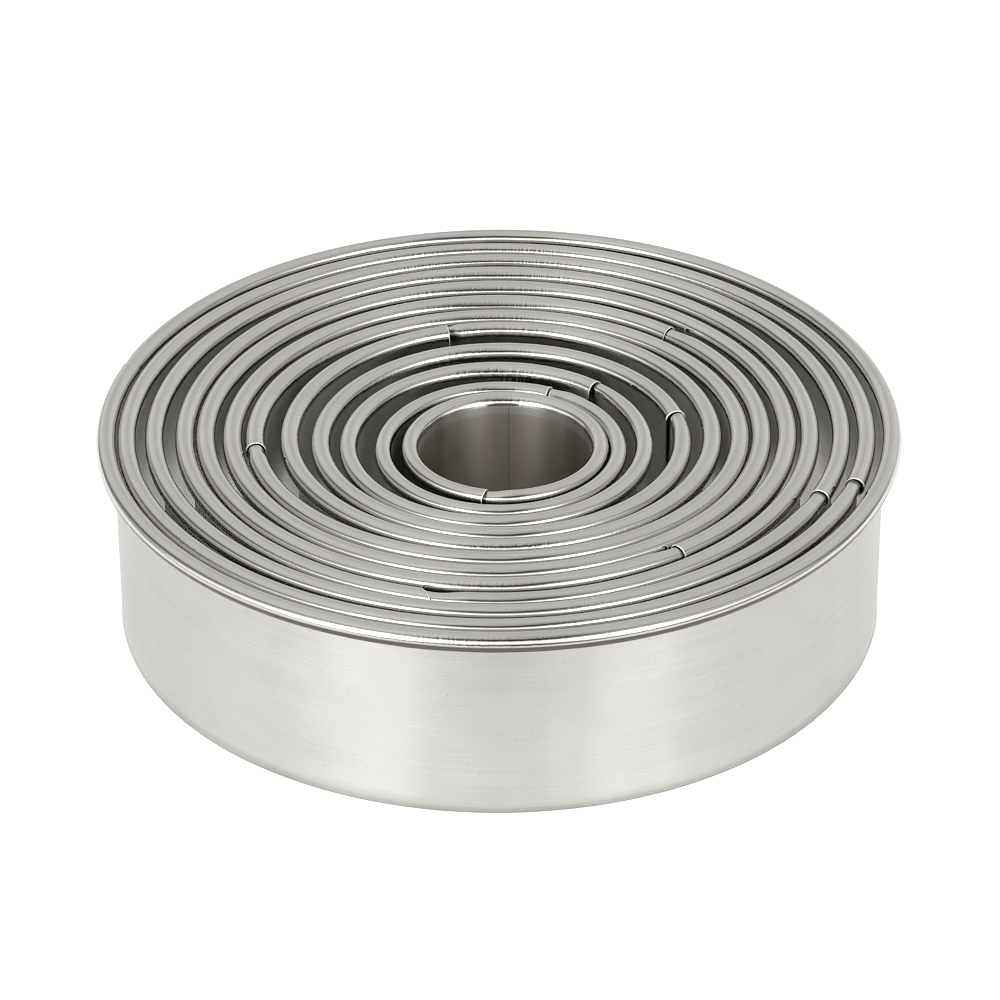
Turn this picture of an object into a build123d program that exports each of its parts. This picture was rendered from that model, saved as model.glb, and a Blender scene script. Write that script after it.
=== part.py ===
from build123d import *
import os
from math import cos, sin, pi, radians, degrees

# Nested set of twelve plain round pastry cutters.
# Each cutter is one thin stainless strip, bent into a ring. Its lower edge is the
# plain cutting edge, and its upper edge is rolled outward into a hollow bead.
# The two ends of the strip lap: one end is a tongue, joggled by one strip
# thickness, that slides inside the bead and behind the wall of the other end and
# is spot welded there.
#
# Frame: +Z up, z = 0 on the surface that the cutters stand on, origin on the axis
# of the largest cutter. Millimetres.

HEIGHT = 30.0        # height of every cutter over its bead
STRIP = 0.30         # strip thickness
TIP_DEG = -125.0     # where the curl ends, as an angle about the bead's centre
TIP_LAP_DEG = -115.0 # where the curl of the tongue ends
LAP_MM = 6.0         # length of the tongue hidden inside the other end
GROW_MM = 7.0        # length over which the tongue grows to the full section
GROW_STEPS = 7       # sections along that length

# name, outer radius over the bead, bead radius, centre x, centre y,
# angle of the seam about the cutter's own axis (deg, anticlockwise from +X, seen
# from above), and the side of the seam that the enclosing end lies on
# (+1 anticlockwise, -1 clockwise)
CUTTERS = [
    ("cutter_01_largest", 57.50, 1.42, 0.00, 0.00, 163.3, +1),
    ("cutter_02", 53.79, 1.36, -0.32, -0.57, 340.6, +1),
    ("cutter_03", 50.17, 1.38, -0.18, -0.53, 335.5, +1),
    ("cutter_04", 46.31, 1.38, -0.22, -1.01, 258.7, -1),
    ("cutter_05", 42.77, 1.41, -0.35, -1.28, 305.5, +1),
    ("cutter_06", 39.03, 1.42, -0.28, -1.90, 47.5, +1),
    ("cutter_07", 35.47, 1.40, -0.21, -2.42, 188.5, -1),
    ("cutter_08", 31.52, 1.40, 0.29, -2.65, 105.0, +1),
    ("cutter_09", 26.99, 1.36, 0.37, -4.19, 11.0, +1),
    ("cutter_10", 22.58, 1.26, -0.30, -5.55, 46.0, +1),
    ("cutter_11", 18.25, 1.10, 0.30, -6.90, 65.0, +1),
    ("cutter_12_smallest", 14.88, 1.08, 0.92, -6.08, 258.5, -1),
]


def section(r_in, rho, u):
    """Closed section of the strip in the XZ plane. u = 0 is the full section and
    u = 1 the tongue, one strip thickness outward at the wall and smaller in the bead."""
    rc, zc = r_in + rho, HEIGHT - rho          # centre of the bead
    a = rho - u * STRIP                        # convex side of the curl
    b = a - STRIP                              # concave side of the curl
    tip = radians(TIP_DEG + u * (TIP_LAP_DEG - TIP_DEG))
    mid = (pi + tip) / 2

    def p(radius, ang):
        return (rc + radius * cos(ang), 0, zc + radius * sin(ang))

    foot_in, foot_out = (rc - a, 0, 0), (rc - b, 0, 0)
    return [
        Line(foot_in, p(a, pi)),
        ThreePointArc(p(a, pi), p(a, mid), p(a, tip)),
        Line(p(a, tip), p(b, tip)),
        ThreePointArc(p(b, tip), p(b, mid), p(b, pi)),
        Line(p(b, pi), foot_out),
        Line(foot_out, foot_in),
    ]


def section_wire(r_in, rho, u):
    return Wire([e.edge() for e in section(r_in, rho, u)])


def ring(r_out, rho):
    """One cutter about the Z axis, its seam at angle 0 and its enclosing end on the
    anticlockwise side."""
    r_in = r_out - 2 * rho
    lap = degrees(LAP_MM / r_out)
    grow = degrees(GROW_MM / r_out)
    full = Face(section_wire(r_in, rho, 0))
    tongue = Face(section_wire(r_in, rho, 1))
    body = revolve(full, axis=Axis.Z, revolution_arc=360 - grow)
    hidden = revolve(tongue, axis=Axis.Z, revolution_arc=lap)
    cuts = []
    for k in range(GROW_STEPS):
        s = k / (GROW_STEPS - 1)
        u = 1 - s * s * (3 - 2 * s)            # eased, so both ends run on smoothly
        cuts.append(section_wire(r_in, rho, u).rotate(Axis.Z, -s * grow))
    growing = Solid.make_loft(cuts, ruled=False)
    return body.fuse(hidden, growing)


def place(shape, x, y, seam_deg, side):
    if side < 0:
        shape = shape.mirror(Plane.XZ)
    return Pos(x, y, 0) * Rot(0, 0, seam_deg) * shape


os.makedirs("parts", exist_ok=True)
for name, r_out, rho, x, y, seam_deg, side in CUTTERS:
    cutter = place(ring(r_out, rho), x, y, seam_deg, side)
    solids = cutter.solids()
    out = solids[0] if len(solids) == 1 else Compound(solids)
    export_step(out, f"parts/{name}.step")
    print(name, "solids", len(solids), "volume %.1f mm3" % out.volume,
          "cutting diameter %.1f mm" % (2 * (r_out - 2 * rho + STRIP)))
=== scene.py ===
import math
import bpy
import numpy as np
from mathutils import Matrix, Vector


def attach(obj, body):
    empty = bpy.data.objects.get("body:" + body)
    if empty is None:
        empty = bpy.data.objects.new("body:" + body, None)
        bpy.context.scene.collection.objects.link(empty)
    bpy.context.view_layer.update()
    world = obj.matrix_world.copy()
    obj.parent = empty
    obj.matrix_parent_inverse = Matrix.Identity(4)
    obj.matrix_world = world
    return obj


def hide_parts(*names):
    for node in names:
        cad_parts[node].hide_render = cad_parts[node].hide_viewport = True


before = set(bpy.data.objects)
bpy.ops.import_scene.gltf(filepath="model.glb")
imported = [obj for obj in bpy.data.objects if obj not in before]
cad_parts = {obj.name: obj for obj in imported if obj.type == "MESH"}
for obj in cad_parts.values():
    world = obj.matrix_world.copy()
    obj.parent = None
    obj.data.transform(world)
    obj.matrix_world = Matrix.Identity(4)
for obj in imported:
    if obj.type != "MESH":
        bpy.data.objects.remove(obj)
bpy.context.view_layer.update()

# Nested set of twelve plain round pastry cutters, in metres in the CAD's frame:
# +Z up, z = 0 on the surface that they stand on, origin on the axis of the largest.
# Each cutter is rebuilt here as one closed strip of sheet: it starts at the
# enclosing end of the seam, runs once round, and ends in the tongue that slides
# into the first end.

MM = 0.001
HEIGHT = 30.0      # mm
STRIP = 0.30       # sheet thickness, mm
TIP = -125.0       # where the curl ends, degrees about the bead's centre

scene = bpy.context.scene

# name, half width in x over the bead, y/x ratio, centre x, centre y, bead radius,
# seam angle, side of the enclosing end (+1 anticlockwise), and the seam's shape:
# t_r   bead radius of the tongue at the seam, as a part of the bead radius
# out   how far the tongue's outer side lies inside the enclosing end's, mm
# grow  length over which the tongue's bead grows to full size, mm
# flare how far the enclosing end is spread, mm
# slant how much the cut runs askew over the bead, mm; below 0 its inner side is cut back
# back  the bead's section at the back of the ring: radius over the top, at the knee and where the wall turns into it
# the painted shade in the joint (last key): how far it darkens the tongue beside the enclosing end, mm
CUTTERS = [
    ("cutter_01_largest", 57.44, 1.0000, 0.00, 0.00, 1.41, 163.3, +1, dict(t_r=0.92, out=0.03, grow=5.0, flare=0.03, slant=0.3, back=(1.41, 1.40, 3.0), joint_shade=0.2)),
    ("cutter_02", 54.02, 0.9916, -0.32, -0.57, 1.34, 341.8, +1, dict(t_r=0.80, out=0.36, grow=6.0, flare=0.09, slant=0.2, back=(1.22, 1.30, 3.0), joint_shade=1.3)),
    ("cutter_03", 50.28, 0.9955, -0.18, -0.53, 1.37, 336.4, +1, dict(t_r=0.84, out=0.24, grow=6.0, flare=0.07, slant=0.1, back=(1.35, 0.50, 3.0), joint_shade=0.9)),
    ("cutter_04", 45.90, 1.0178, -0.22, -1.01, 1.37, 258.7, -1, dict(t_r=0.74, out=0.12, grow=5.0, flare=0.10, slant=-2.3, back=(1.90, 0.95, 3.0), joint_shade=0.15)),
    ("cutter_05", 42.82, 0.9977, -0.35, -1.28, 1.42, 306.7, +1, dict(t_r=0.85, out=0.10, grow=5.0, flare=0.10, slant=0.5, back=(1.95, 0.95, 3.0), joint_shade=0.4)),
    ("cutter_06", 39.11, 0.9958, -0.28, -1.90, 1.43, 47.5, +1, dict(t_r=0.84, out=0.30, grow=5.0, flare=0.08, slant=0.5, back=(2.25, 0.55, 3.5), joint_shade=0.4)),
    ("cutter_07", 35.92, 0.9750, -0.21, -2.44, 1.42, 187.0, -1, dict(t_r=0.80, out=0.24, grow=3.5, flare=0.06, slant=0.2, back=(1.75, 0.80, 3.0), joint_shade=0.5)),
    ("cutter_08", 31.50, 1.0006, 0.29, -2.65, 1.43, 105.0, +1, dict(t_r=0.70, out=0.30, grow=1.7, flare=0.10, slant=0.0, back=(1.32, 0.75, 4.5), joint_shade=2.0)),
    ("cutter_09", 27.11, 0.9919, 0.37, -4.23, 1.44, 13.6, +1, dict(t_r=0.84, out=0.03, grow=7.0, flare=0.10, slant=0.2, back=(1.60, 1.00, 4.5), joint_shade=0.35)),
    ("cutter_10", 22.34, 1.0108, -0.33, -5.60, 1.335, 47.3, +1, dict(t_r=0.70, out=0.03, grow=7.0, flare=0.12, slant=0.1, back=(1.98, 0.55, 4.5), joint_shade=0.7)),
    ("cutter_11", 17.90, 1.0139, 0.25, -6.95, 1.205, 65.0, +1, dict(t_r=0.84, out=0.12, grow=3.0, flare=0.05, slant=0.0, back=(1.45, 0.90, 2.5), joint_shade=0.3)),
    ("cutter_12_smallest", 14.74, 1.0044, 0.90, -6.40, 1.23, 258.5, -1, dict(t_r=0.86, out=0.10, grow=3.0, flare=0.06, slant=0.6, back=(1.74, 1.00, 2.2), joint_shade=0.3)),
]


def smooth(x):
    x = np.clip(x, 0.0, 1.0)
    return x * x * (3 - 2 * x)


def ripple(rng, length, shortest, longest, count):
    """A sum of a few sine waves that close on themselves over length; about 1 in size."""
    n = rng.integers(max(1, int(length / longest)), max(2, int(length / shortest)) + 1, count)
    p = rng.uniform(0, 2 * math.pi, count)
    w = rng.uniform(0.4, 1.0, count)
    w /= math.sqrt((w ** 2).sum() / 2)

    def at(s):
        return sum(wi * np.sin(2 * math.pi * ni * s / length + pi_) for ni, pi_, wi in zip(n, p, w))
    return at


def strip_mesh(index, name, a, ratio, cx, cy, rho, seam_deg, side, shape):
    rng = np.random.default_rng(4100 + index)
    A, B = a - 2 * rho, a * ratio - 2 * rho            # inner wall line, mm
    around = math.pi * (3 * (A + B) - math.sqrt((3 * A + B) * (A + 3 * B)))  # its length
    lap = 6.0
    step = 0.85 if around > 120 else 0.7

    # stations along the strip, mm from the enclosing end
    fine = [0.0, 0.06, 0.16, 0.32, 0.55, 0.9, 1.4, 2.0, 2.7, 3.5]
    n_mid = int((around - 8.5) / step)
    mid = np.linspace(3.5, around - 5.0, n_mid)[1:]
    tail = np.arange(around - 5.0, around + lap - 0.4, 0.5)[1:]
    s = np.concatenate([fine, mid, tail, [around + lap - 0.25, around + lap - 0.08, around + lap]])
    n = len(s)

    # arc length to the parameter of the ellipse
    k = np.linspace(0, 2 * math.pi, 2001)
    speed = np.hypot(A * np.sin(k), B * np.cos(k))
    arc = np.concatenate([[0], np.cumsum((speed[1:] + speed[:-1]) / 2 * np.diff(k))])
    total = arc[-1]
    k0 = math.radians(seam_deg)
    s0 = np.interp(k0 % (2 * math.pi), k, arc)

    # how far along the joggle each station is: 0 full section, 1 tongue
    grow = shape["grow"]
    u_wall = smooth((s - (around - 4.0)) / 3.4)
    u_bead = smooth((s - (around - grow)) / (grow - 0.3))
    wall_in = (STRIP + 0.03) * u_wall
    bead_r = rho * (1 - (1 - shape["t_r"]) * u_bead)
    inside = np.clip((s - around) / 0.8, 0, 1)          # the hidden part is a little smaller still
    bead_r = np.minimum(bead_r, np.where(s > around, (rho - STRIP - 0.06), 99.0) * (1 - 0.02 * inside) + (s <= around) * 99)
    top = HEIGHT - 0.02 - u_bead * (STRIP * 0.8 + 0.05)
    top = np.minimum(top, np.where(s > around, HEIGHT - 0.02 - STRIP - 0.05, 99.0))
    flare = shape["flare"] * np.exp(-s / 0.9)
    # the bead's outer side, from the wall line; the hidden part lies in the middle of the enclosing bead
    outer = 2 * rho - shape["out"] * u_bead
    outer = np.where(s > around, rho + bead_r + 0.5 * (outer - rho - bead_r) * (1 - inside), outer)

    # small irregularities of the rolled bead and of the wall
    w_long = ripple(rng, around, 30, 90, 6)
    w_mid = ripple(rng, around, 6, 16, 14)
    w_fine = ripple(rng, around, 2.2, 4.5, 24)
    w_tilt = ripple(rng, around, 12, 40, 8)
    fade = smooth(s / 3.0) * smooth((around - grow - s) / 3.0)
    bead_r = bead_r + fade * (0.0035 * w_mid(s) + 0.0008 * w_fine(s)) * rho
    out_wave = 0.02 * w_long(s)

    # the section's radius at each angle of its normal: 0 faces the ring's middle, 90 up, 180 out
    place = np.degrees(np.interp((s0 + side * s) % total, arc, k))
    near = np.exp(-((place - 90) / math.degrees(11.0 / a)) ** 2)
    wide = np.exp(-((place - 90) / 45.0) ** 2)
    turn = np.radians(np.concatenate([np.arange(0, 80, 2.0), np.arange(80, 176, 6.0), np.linspace(180, 180 - TIP, 18)]))
    turn_in = np.arange(len(turn))[::-1]
    over = smooth((np.degrees(turn) - 33) / 8) * smooth((84 - np.degrees(turn)) / 14)
    foot = smooth((22 - np.degrees(turn)) / 8)
    knee = 1 - foot - smooth((np.degrees(turn) - 33) / 8)
    at_out = int(np.argmin(np.abs(turn - math.pi)))
    t_back, k_back, f_back = shape["back"]

    # section loop, from the foot of the inner face up, over the bead, and back down
    wall_z = np.array([0.0, 0.02, 0.08, 0.25, 0.6, 0.86, 0.90, 0.93, 0.96, 0.985])
    rows = []
    for j in range(n):
        r = bead_r[j] + flare[j]
        w = wall_in[j]
        t = STRIP
        R = r * (1 + near[j] * (over * (t_back / rho - 1) + knee * (k_back / rho - 1)) + wide[j] * foot * (f_back / rho - 1))
        mean = (R[1:] + R[:-1]) / 2
        x = np.concatenate([[0], np.cumsum(mean * -np.diff(np.cos(turn)))])
        z = np.concatenate([[0], np.cumsum(mean * np.diff(np.sin(turn)))])
        x += outer[j] + 1.25 * flare[j] - x[at_out]
        z += top[j] - z.max()
        conv = np.stack([x, z], 1)
        conc = (conv + t * np.stack([np.cos(turn), -np.sin(turn)], 1))[turn_in]
        zs = z[0]
        lean = zs * wall_z[2:] / zs * (x[0] - w)         # the wall leans to meet the bead
        # inner face; the cutting edge is ground a little
        pts = [(w + 0.10, 0.0), (w + 0.03, 0.03)]
        pts += [(w + dx, z) for dx, z in zip(lean, zs * wall_z[2:])]
        pts += [tuple(p) for p in conv]
        # rounded tip
        n_tip = np.array([-math.cos(turn[-1]), math.sin(turn[-1])])
        t_tip = np.array([math.sin(turn[-1]), math.cos(turn[-1])])
        pts.append(tuple(conv[-1] - 0.06 * n_tip + 0.045 * t_tip))
        pts.append(tuple(conv[-1] - (t - 0.06) * n_tip + 0.045 * t_tip))
        pts += [tuple(p) for p in conc]
        pts += [(w + dx + t, z) for dx, z in zip(lean[::-1], zs * wall_z[2:][::-1])]
        pts += [(w + t - 0.03, 0.03), (w + t - 0.10, 0.0)]
        rows.append(pts)
    sec = np.array(rows)                                # n, m, 2
    m = sec.shape[1]

    # slant of the cut end: the cut runs a little askew over the bead
    zrel = (sec[:, :, 1] - (HEIGHT - 2 * rho)) / (2 * rho)
    xrel = (sec[:, :, 0]) / (2 * rho) - 0.5
    cut_back = 0.5 if shape["slant"] < 0 else 0.0
    sl = shape["slant"] * (np.clip(xrel, -0.5, 0.5) - cut_back) * np.exp(-s / 3.0)[:, None] * (zrel > -0.2)

    height = sec[:, :, 1] / HEIGHT
    d = sec[:, :, 0] + out_wave[:, None] * (0.35 + 0.65 * height)
    d = d + (0.02 * w_tilt(s))[:, None] * (height - 0.9)
    ss = s[:, None] + np.maximum(sl, -s[:, None] * 0.9)

    # place on the ellipse
    kk = np.interp((s0 + side * ss) % total, arc, k)
    ex, ey = np.cos(kk), np.sin(kk)
    nx, ny = B * ex, A * ey
    norm = np.hypot(nx, ny)
    nx, ny = nx / norm, ny / norm
    X = cx + A * ex + nx * d
    Y = cy + B * ey + ny * d
    Z = sec[:, :, 1]
    co = np.stack([X, Y, Z], 2).reshape(-1, 3) * MM

    # faces
    j, i = np.meshgrid(np.arange(n - 1), np.arange(m), indexing="ij")
    i2 = (i + 1) % m
    quads = np.stack([j * m + i, (j + 1) * m + i, (j + 1) * m + i2, j * m + i2], 2).reshape(-1, 4)
    if side < 0:
        quads = quads[:, ::-1]
    verts = co.tolist()
    faces = quads.tolist()
    # caps as strips of quads across the sheet: the loop runs up one face and down the other
    half = m // 2
    for e, flip in ((0, False), (n - 1, True)):
        for q in range(half - (0 if m % 2 else 1)):
            f = [e * m + q, e * m + q + 1, e * m + (m - 2 - q), e * m + (m - 1 - q)]
            if len(set(f)) < 4:
                continue
            if flip != (side < 0):
                f = f[::-1]
            faces.append(f)
    mesh = bpy.data.meshes.new(name + "_sheet")
    mesh.from_pydata(verts, [], faces)
    mesh.validate()

    # strip coordinates in cm: along the strip, and across it following the section
    seg = np.hypot(np.diff(sec[:, :, 0], axis=1), np.diff(sec[:, :, 1], axis=1))
    across = np.concatenate([np.zeros((n, 1)), np.cumsum(seg, axis=1)], axis=1)
    uv = np.stack([np.repeat(s[:, None], m, 1), across], 2).reshape(-1, 2) / 10
    layer = mesh.uv_layers.new(name="strip")
    loops = np.zeros(len(mesh.loops), np.int64)
    mesh.loops.foreach_get("vertex_index", loops)
    luv = uv[loops]
    layer.data.foreach_set("uv", luv.ravel())

    mesh.polygons.foreach_set("use_smooth", np.ones(len(mesh.polygons), bool))
    mesh.update()
    return mesh, around


# ---------------------------------------------------------------- material

class Nodes:
    """Builds node trees from short expressions."""

    def __init__(self, tree):
        self.t = tree

    def new(self, kind, **props):
        node = self.t.nodes.new(kind)
        for key, value in props.items():
            setattr(node, key, value)
        return node

    def put(self, socket, value):
        if isinstance(value, bpy.types.NodeSocket):
            self.t.links.new(value, socket)
        elif value is not None:
            socket.default_value = value

    def math(self, op, a, b=None, c=None, clamp=False):
        node = self.new("ShaderNodeMath", operation=op, use_clamp=clamp)
        for socket, value in zip(node.inputs, (a, b, c)):
            self.put(socket, value)
        return node.outputs[0]

    def mix(self, factor, a, b):
        node = self.new("ShaderNodeMix", data_type="FLOAT")
        self.put(node.inputs[0], factor)
        self.put(node.inputs[2], a)
        self.put(node.inputs[3], b)
        return node.outputs[0]

    def mix_rgb(self, factor, a, b, blend="MIX"):
        node = self.new("ShaderNodeMix", data_type="RGBA", blend_type=blend)
        self.put(node.inputs[0], factor)
        self.put(node.inputs[6], a)
        self.put(node.inputs[7], b)
        return node.outputs[2]

    def range(self, value, a, b, c=0.0, d=1.0, kind="SMOOTHSTEP"):
        node = self.new("ShaderNodeMapRange", interpolation_type=kind)
        self.put(node.inputs[0], value)
        for k, v in zip((1, 2, 3, 4), (a, b, c, d)):
            self.put(node.inputs[k], v)
        return node.outputs[0]

    def noise(self, vector, scale, detail=2.0, rough=0.5, dims="3D"):
        node = self.new("ShaderNodeTexNoise", noise_dimensions=dims)
        self.put(node.inputs["Vector"], vector)
        node.inputs["Scale"].default_value = scale
        node.inputs["Detail"].default_value = detail
        node.inputs["Roughness"].default_value = rough
        return node.outputs[0]

    def mapping(self, vector, scale=(1, 1, 1), location=(0, 0, 0), rotation=(0, 0, 0)):
        node = self.new("ShaderNodeMapping")
        self.put(node.inputs["Vector"], vector)
        node.inputs["Scale"].default_value = scale
        node.inputs["Location"].default_value = location
        node.inputs["Rotation"].default_value = rotation
        return node.outputs[0]


# how deep the ticks are at the back of each ring, against the chatter elsewhere
TICKS = [0.5, 1.3, 1.3, 1.2, 1.0, 0.8, 0.8, 1.8, 0.6, 1.2, 0.5, 0.9]


def steel(index, rho, seam, side, around, joint_shade):
    mat = bpy.data.materials.new("stainless_steel_%02d" % (index + 1))
    mat.use_nodes = True
    n = Nodes(mat.node_tree)
    n.t.nodes.clear()
    out = n.new("ShaderNodeOutputMaterial")
    bsdf = n.new("ShaderNodeBsdfPrincipled")
    n.t.links.new(bsdf.outputs[0], out.inputs[0])
    uv = n.new("ShaderNodeUVMap", uv_map="strip").outputs[0]
    shift = (index * 7.31, index * 3.17, 0.0)

    # fine rolling lines along the strip: long in u, very short in v
    lines = n.noise(n.mapping(uv, (0.35, 60.0, 1.0), shift), 1.0, 3.0, 0.6)
    broad = n.noise(n.mapping(uv, (0.25, 2.2, 1.0), shift), 1.0, 2.0, 0.5)
    cloud = n.noise(n.mapping(uv, (0.9, 0.9, 1.0), shift), 1.0, 3.0, 0.55)
    spots = n.noise(n.mapping(uv, (14.0, 14.0, 1.0), shift), 1.0, 1.0, 0.4)
    spot = n.range(spots, 0.73, 0.80)

    # the bead is burnished by the rollers, the wall keeps the mill finish
    v = n.new("ShaderNodeSeparateXYZ")
    n.put(v.inputs[0], uv)
    u, v = v.outputs[0], v.outputs[1]
    start = (HEIGHT - rho) / 10
    end = start + rho * math.radians(180 - TIP) / 10
    bead = n.range(v, start - 0.03, start + 0.05)
    # at the back the rollers have burnished the turn below the bead too
    length = around / 10
    at_back = length * (((90 - seam) * side) % 360) / 360
    far = n.math("ABSOLUTE", n.math("SUBTRACT", u, at_back))
    far = n.math("MINIMUM", far, n.math("ABSOLUTE", n.math("SUBTRACT", length, far)))
    low = n.math("MULTIPLY", n.range(v, start - 0.17, start - 0.08), n.range(far, length * 0.06, length * 0.13, 1.0, 0.0))
    if index < 11:
        bead = n.math("MAXIMUM", bead, low)
    bead = n.math("MULTIPLY", bead, n.range(v, end, end + 0.1, 1.0, 0.0))

    base = n.mix_rgb(n.range(cloud, 0.35, 0.65), n.mix_rgb(bead, (0.642, 0.635, 0.614, 1), (0.640, 0.628, 0.598, 1)),
                     n.mix_rgb(bead, (0.672, 0.666, 0.648, 1), (0.670, 0.660, 0.632, 1)))
    if index == 11:  # the smallest one's inner wall is tinted brown and darkened: partly its own tone, partly painted shade inside its bore
        inner = n.range(v, start - 0.20, start - 0.08, 1.0, 0.0)
        base = n.mix_rgb(inner, base, (0.525, 0.483, 0.437, 1))
    base = n.mix_rgb(n.range(lines, 0.35, 0.7, 0.0, 0.16), base, (0.30, 0.29, 0.27, 1))
    base = n.mix_rgb(n.math("MULTIPLY", spot, 0.35), base, (0.42, 0.40, 0.37, 1))
    # painted shade: the inside of the curl and the crease that it makes with the wall are darkened
    inside = start + rho * math.radians(174) / 10
    curl_end = end + (rho - STRIP) * math.radians(180 - TIP) / 10
    painted_crease_shade = n.math("MULTIPLY", n.range(v, inside, inside + 0.035), n.range(v, curl_end, curl_end + 0.12, 1.0, 0.0))
    base = n.mix_rgb(painted_crease_shade, base, (0.13, 0.12, 0.105, 1))
    # painted shade in the joint: the tongue beside the enclosing end is darkened
    edge = n.math("ADD", u, n.math("MULTIPLY", n.math("SUBTRACT", cloud, 0.5), 0.03))
    joint_at = around + (2.3 if index == 3 else 0.0)     # where the cut runs askew, the painted shade lies under its far end
    painted_dark_marks = n.range(edge, (joint_at - joint_shade) / 10, (joint_at - 0.35 * joint_shade) / 10)
    painted_dark_marks = n.math("MULTIPLY", painted_dark_marks, n.range(v, start - 0.10, start - 0.02, 0.3, 1.0))
    painted_dark_marks = n.math("MULTIPLY", painted_dark_marks, n.range(v, end - 0.05, end + 0.05, 1.0, 0.0))
    if index == 7:  # here on the side that faces the middle
        painted_dark_marks = n.math("MULTIPLY", painted_dark_marks, n.range(v, start + rho * 0.075, start + rho * 0.11, 1.0, 0.0))
    if index == 11:  # painted reflections at the back: a ragged dark patch under the bead's highlight, and a dark line down the wall where the front seam is mirrored
        ragged = n.math("MULTIPLY", n.math("SUBTRACT", n.noise(n.mapping(uv, (14.0, 4.0, 1.0), shift), 1.0, 2.0, 0.6), 0.5), 0.05)
        place = n.math("ABSOLUTE", n.math("SUBTRACT", u, at_back - 0.034))
        dark_reflection_patch = n.math("MULTIPLY", n.range(place, 0.19, 0.27, 1.0, 0.0), n.range(v, start - 0.02, start))
        dark_reflection_patch = n.math("MULTIPLY", dark_reflection_patch, n.range(n.math("ADD", v, ragged), start + 0.030, start + 0.042, 1.0, 0.0))
        painted_dark_marks = n.math("MAXIMUM", painted_dark_marks, dark_reflection_patch)
        line = n.math("ABSOLUTE", n.math("SUBTRACT", u, at_back + 0.055))
        line = n.math("MULTIPLY", n.range(line, 0.004, 0.012, 1.0, 0.0), n.range(v, start - 0.05, start - 0.02, 1.0, 0.0))
        painted_dark_marks = n.math("MAXIMUM", painted_dark_marks, n.math("MULTIPLY", line, 0.45))
    # the painted shade of the joints and the painted dark reflections are mixed into the colour here
    base = n.mix_rgb(n.math("MULTIPLY", painted_dark_marks, 0.85), base, (0.055, 0.05, 0.045, 1))
    # painted highlight: the cut edge of the enclosing end is made bright
    cut = n.math("MULTIPLY", n.range(u, 0.010, 0.020, 1.0, 0.0), bead)
    base = n.mix_rgb(cut, base, (0.92, 0.91, 0.89, 1))
    n.put(bsdf.inputs["Base Color"], base)
    bsdf.inputs["Metallic"].default_value = 1.0
    bsdf.inputs["Anisotropic"].default_value = 1.0
    bsdf.inputs["Anisotropic Rotation"].default_value = 0.25
    tangent = n.new("ShaderNodeTangent", direction_type="UV_MAP", uv_map="strip")
    n.put(bsdf.inputs["Tangent"], tangent.outputs[0])
    rough = n.mix(bead, 0.30, 0.08)
    rough = n.math("ADD", rough, n.math("MULTIPLY", n.math("SUBTRACT", lines, 0.5), 0.05))
    rough = n.math("ADD", rough, n.math("MULTIPLY", n.range(cloud, 0.5, 0.75), 0.02))
    rough = n.math("ADD", rough, n.math("MULTIPLY", spot, 0.15))
    rough = n.math("ADD", rough, n.math("MULTIPLY", cut, 0.25))
    n.put(bsdf.inputs["Roughness"], rough)

    # chatter of the rollers: short dents across the bead, in patches along it
    chatter = n.noise(n.mapping(uv, (18.0, 7.0, 1.0), shift), 1.0, 1.0, 0.5)
    patch = n.range(n.noise(n.mapping(uv, (0.33, 1.4, 1.0), shift), 1.0, 1.0, 0.5), 0.50, 0.66)
    chatter = n.math("MULTIPLY", n.math("MULTIPLY", chatter, patch), bead)
    # and at the back, where the rollers let go, a row of short ticks across the bead
    ticks = n.noise(n.mapping(uv, (26.0, 2.0, 1.0), shift), 1.0, 1.5, 0.5)
    ticks = n.math("MULTIPLY", n.math("MULTIPLY", ticks, bead), n.range(far, length * 0.04, length * 0.10, 1.0, 0.0))
    chatter = n.math("ADD", chatter, n.math("MULTIPLY", ticks, TICKS[index]))
    height = n.math("ADD", n.math("MULTIPLY", lines, 0.8), n.math("MULTIPLY", broad, 1.2))
    height = n.math("ADD", height, n.math("MULTIPLY", chatter, 5.0 if index == 0 else 8.0))
    bump = n.new("ShaderNodeBump")
    bump.inputs["Strength"].default_value = 0.35
    bump.inputs["Distance"].default_value = 0.00002
    n.put(bump.inputs["Height"], height)
    n.put(bsdf.inputs["Normal"], bump.outputs[0])
    return mat


for index, row in enumerate(CUTTERS):
    name = row[0]
    mesh, around = strip_mesh(index, *row)
    obj = bpy.data.objects.new("sheet_" + name, mesh)
    scene.collection.objects.link(obj)
    mesh.materials.append(steel(index, row[5], row[6], row[7], around, row[8]["joint_shade"]))
    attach(obj, name)
    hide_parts(name)

# ---------------------------------------------------------------- floor and light

floor_mesh = bpy.data.meshes.new("floor")
floor_mesh.from_pydata([(-0.10, -0.145, 0), (0.10, -0.145, 0), (0.30, 0.0, 0), (0.45, 0.5, 0), (-0.45, 0.5, 0),
                        (-0.30, 0.0, 0)], [], [(0, 1, 2, 3, 4, 5)])
floor = bpy.data.objects.new("floor", floor_mesh)
scene.collection.objects.link(floor)
floor.location.z = -0.00002
fmat = bpy.data.materials.new("pale_floor")
fmat.use_nodes = True
fb = fmat.node_tree.nodes["Principled BSDF"]
fb.inputs["Base Color"].default_value = (0.90, 0.90, 0.895, 1)
fb.inputs["Roughness"].default_value = 0.9
fb.inputs["Specular IOR Level"].default_value = 0.0
# painted light: the floor glows under the nested rings, as a light table would, to light the gaps between the walls
f = Nodes(fmat.node_tree)
under = f.new("ShaderNodeSeparateXYZ")
f.put(under.inputs[0], f.new("ShaderNodeNewGeometry").outputs["Position"])
fx, fy = under.outputs[0], under.outputs[1]


def distance(x, y):
    u = f.math("SUBTRACT", fx, x * MM)
    v = f.math("SUBTRACT", fy, y * MM)
    return f.math("SQRT", f.math("ADD", f.math("MULTIPLY", u, u), f.math("MULTIPLY", v, v)))


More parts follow.
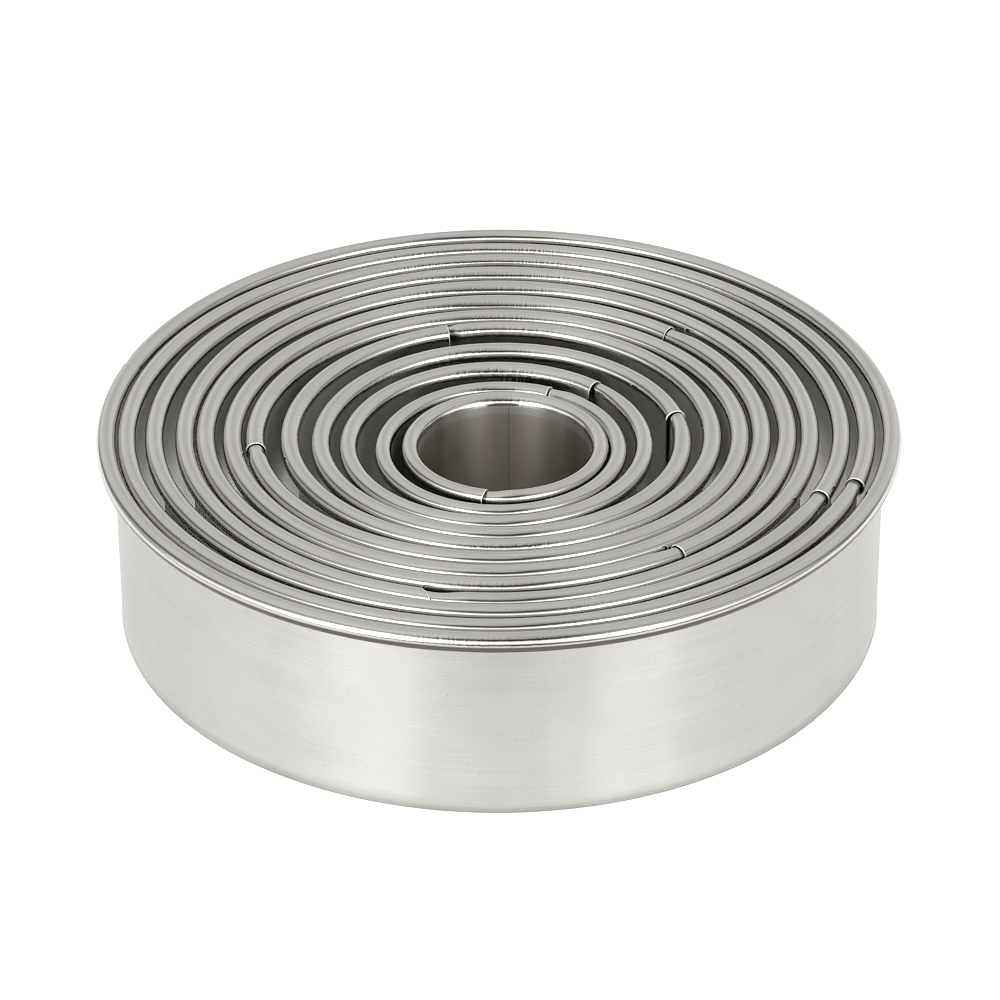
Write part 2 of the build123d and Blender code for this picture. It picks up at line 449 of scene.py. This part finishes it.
glow = f.math("MULTIPLY", f.range(distance(0.96, -6.04), 0.0131, 0.0137), f.range(distance(0, 0), 0.0545, 0.0550, 1.0, 0.0))
# the painted glow is weaker towards the back
turned = f.math("ABSOLUTE", f.math("ARCTAN2", fx, fy))
behind = f.math("EXPONENT", f.math("MULTIPLY", f.math("POWER", f.math("DIVIDE", turned, 0.42), 2.0), -1.0))
glow = f.math("MULTIPLY", glow, f.math("SUBTRACT", 0.48, f.math("MULTIPLY", behind, 0.42)))
glow = f.math("MULTIPLY", glow, f.range(turned, 0.6, 1.0, 1.0, 0.65))
# and more between the larger cutters
glow = f.math("MULTIPLY", glow, f.range(distance(0, 0), 0.024, 0.031, 1.0, 3.3))
glow = f.math("MULTIPLY", glow, f.range(fy, -0.022, 0.004, 0.6, 1.0))
# to the camera's own rays most of the painted glow is taken away, so the floor itself stays as dim as the gaps
direct = f.new("ShaderNodeLightPath").outputs["Is Camera Ray"]
glow = f.math("MULTIPLY", glow, f.math("SUBTRACT", 1.0, f.math("MULTIPLY", direct, 0.93)))
glow = f.math("ADD", glow, f.math("MULTIPLY", f.range(distance(0, 0), 0.05496, 0.0550), 0.40))
glow = f.math("ADD", glow, f.math("MULTIPLY", direct, 0.04))
fb.inputs["Emission Color"].default_value = (1.0, 0.988, 0.968, 1)
f.put(fb.inputs["Emission Strength"], glow)
floor_mesh.materials.append(fmat)

world = bpy.data.worlds.new("studio")
scene.world = world
world.use_nodes = True
w = Nodes(world.node_tree)
w.t.nodes.clear()
w_out = w.new("ShaderNodeOutputWorld")
w_bg = w.new("ShaderNodeBackground")
w.t.links.new(w_bg.outputs[0], w_out.inputs[0])
sep = w.new("ShaderNodeSeparateXYZ")
w.put(sep.inputs[0], w.new("ShaderNodeTexCoord").outputs["Generated"])
dx, dy, dz = sep.outputs
DEG = 180 / math.pi
el = w.math("MULTIPLY", w.math("ARCSINE", dz), DEG)
az = w.math("MULTIPLY", w.math("ARCTAN2", dx, w.math("MULTIPLY", dy, -1.0)), DEG)


def bell(value, centre, width):
    x = w.math("DIVIDE", w.math("SUBTRACT", value, centre), width)
    return w.math("EXPONENT", w.math("MULTIPLY", w.math("MULTIPLY", x, x), -1.0))


def times(*values):
    out = values[0]
    for value in values[1:]:
        out = w.math("MULTIPLY", out, value)
    return out


def plus(*values):
    out = values[0]
    for value in values[1:]:
        out = w.math("ADD", out, value)
    return out


def along(points, low, high):
    """A smooth curve over the azimuth through a few points, with values from low to high."""
    node = w.new("ShaderNodeFloatCurve")
    w.put(node.inputs["Value"], w.math("MULTIPLY_ADD", az, 1 / 360, 0.5))
    c = node.mapping.curves[0]
    at = [(x / 360 + 0.5, (y - low) / (high - low)) for x, y in points]
    c.points[0].location, c.points[1].location = at[0], at[-1]
    for x, y in at[1:-1]:
        c.points.new(x, y)
    node.mapping.update()
    return w.math("MULTIPLY_ADD", node.outputs[0], high - low, low)


away = w.math("ABSOLUTE", az)
# pale walls all round, a little brighter high on the left
level = plus(0.74,
             times(bell(az, -58, 34), bell(el, 70, 15), 0.20),
             times(bell(az, 35, 45), bell(el, 80, 10), -0.12),
             times(bell(az, -125, 35), bell(el, 60, 18), 0.07),
             times(bell(away, 152, 20), bell(el, 15, 14), 0.10),
             times(bell(away, 180, 15), bell(el, 31, 16), -0.09))
# the dark upper edge of the opening, highest over the camera and sinking to both sides
arch = along([(-180, -20), (-143, 0), (-113, 21), (-83, 33), (-53, 47), (-20, 52.5), (4, 51), (22, 57), (36, 60.5), (55, 58), (82, 34),
              (97, 14), (115, 2), (180, -20)], -20, 70)
arch_dark = along([(-180, 0), (-155, 0.25), (-130, 0.66), (-98, 0.80), (-70, 0.62), (-52, 0.22), (-36, 0.25), (-10, 0.93), (8, 0.99),
                   (24, 0.86), (40, 0.52), (62, 0.28), (84, 0.50), (104, 0.70), (128, 0.30), (150, 0), (180, 0)], -0.1, 1)
arch_width = along([(-180, 10), (-113, 12), (-83, 7), (-50, 8), (0, 12.5), (40, 13), (80, 11), (110, 12), (180, 10)], 0, 20)
x = w.math("DIVIDE", w.math("SUBTRACT", el, arch), arch_width)
level = times(level, w.math("SUBTRACT", 1.0, times(w.math("EXPONENT", times(x, x, -1.0)), arch_dark)))
# dark low down in front, where the table ends
low_dark = plus(times(bell(az, 5, 24), 0.95), times(bell(az, 66, 24), 0.62), times(bell(az, -100, 24), 0.45))
level = times(level, w.math("SUBTRACT", 1.0, times(bell(el, -8, 11), low_dark)))
# the soft light: two wide boxes left and right of the camera, joined by a weaker middle
roof = along([(-180, -20), (-110, -12), (-97, 5), (-83, 15), (-67, 24), (-53, 32), (-38, 39), (-20, 39), (2, 35), (20, 38), (38, 38),
              (53, 30), (67, 19), (80, 9), (92, -10), (180, -20)], -20, 50)
sill = plus(times(bell(az, 5, 18), 6.0), times(w.range(az, -60.0, 30.0), 6.0), -3.0)
light = times(w.range(w.math("SUBTRACT", roof, el), -3.0, 3.0), w.range(w.math("SUBTRACT", el, sill), -3.0, 3.0))
level = plus(level, times(light, plus(0.85, times(bell(away, 36, 16), 2.0))))
seen = w.new("ShaderNodeLightPath").outputs["Is Camera Ray"]
level = w.mix(seen, level, 1.0)
w.put(w_bg.inputs["Strength"], level)
w_bg.inputs["Color"].default_value = (1.0, 0.995, 0.985, 1)

# the light between the nested walls goes through many mirror bounces
scene.cycles.max_bounces = 40
scene.cycles.glossy_bounces = 32
scene.cycles.diffuse_bounces = 8

# a photograph's clipped lights and crisp edges
scene.use_nodes = True
tree = scene.node_tree
tree.nodes.clear()
layers = tree.nodes.new("CompositorNodeRLayers")
clip = tree.nodes.new("CompositorNodeMixRGB")
clip.blend_type = "DARKEN"
clip.inputs[0].default_value = 1.0
clip.inputs[2].default_value = (1.05, 1.05, 1.05, 1)
to_display = tree.nodes.new("CompositorNodeGamma")
to_display.inputs[1].default_value = 1 / 2.2
sharpen = tree.nodes.new("CompositorNodeFilter")
sharpen.filter_type = "SHARPEN_DIAMOND"
sharpen.inputs[0].default_value = 0.16
to_linear = tree.nodes.new("CompositorNodeGamma")
to_linear.inputs[1].default_value = 2.2
composite = tree.nodes.new("CompositorNodeComposite")
tree.links.new(layers.outputs["Image"], clip.inputs[1])
tree.links.new(clip.outputs[0], to_display.inputs[0])
tree.links.new(to_display.outputs[0], sharpen.inputs[1])
tree.links.new(sharpen.outputs[0], to_linear.inputs[0])
tree.links.new(to_linear.outputs[0], composite.inputs[0])

scene.view_settings.view_transform = "Standard"
scene.view_settings.look = "None"
scene.view_settings.exposure = 0.0
scene.view_settings.gamma = 1.0

# ---------------------------------------------------------------- camera

E = math.radians(31.674)
ROLL = -0.00429
S = 0.0575321
DIST = 12.0312 * S
TX, TZ = 0.00226 * S, 0.28181 * S
cam_data = bpy.data.cameras.new("camera")
cam = bpy.data.objects.new("camera", cam_data)
scene.collection.objects.link(cam)
cam_data.sensor_width = 36.0
cam_data.lens = 36.0 * 4.80011
cam_data.clip_start = 0.01
cam_data.clip_end = 50
right = Vector((1, 0, 0))
up = Vector((0, math.sin(E), math.cos(E)))
back = Vector((0, -math.cos(E), math.sin(E)))
r2 = math.cos(ROLL) * right + math.sin(ROLL) * up
u2 = -math.sin(ROLL) * right + math.cos(ROLL) * up
place = Matrix((r2, u2, back)).transposed().to_4x4()
place.translation = Vector((TX, 0, TZ)) + back * DIST
cam.matrix_world = place
scene.camera = cam
